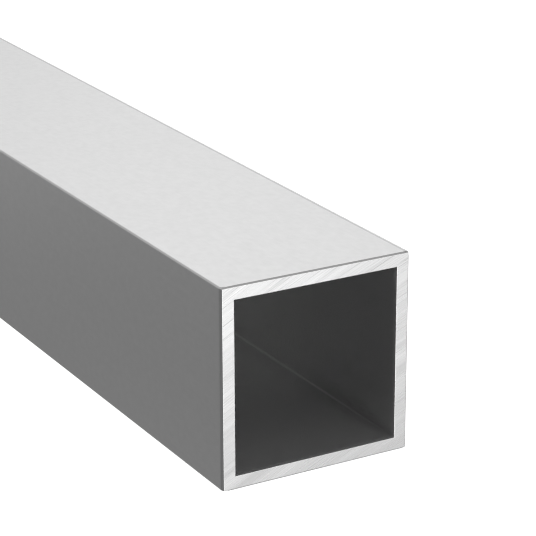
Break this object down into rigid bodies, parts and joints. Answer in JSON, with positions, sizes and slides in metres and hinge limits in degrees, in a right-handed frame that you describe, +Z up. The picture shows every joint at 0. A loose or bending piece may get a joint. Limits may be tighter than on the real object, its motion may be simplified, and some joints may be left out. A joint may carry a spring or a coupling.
{
  "type": "square metal tube",
  "caption": "Straight length of hollow square aluminium tube with crisp corners and square sawn ends, for cutting, joining and framing.",
  "frame": {"origin": "centre of the underside of the tube, midway along its length", "axes": "+Y along the tube, away from the end that the picture shows; +Z up; +X across"},
  "size_m": [0.03, 0.3, 0.03],
  "materials": {
    "tube_metal": "mill finish, satin grey, with bright sawn ends that show the saw's curved marks"
  },
  "bodies": {
    "root": {"square_tube": "tube_metal"}
  },
  "joints": []
}
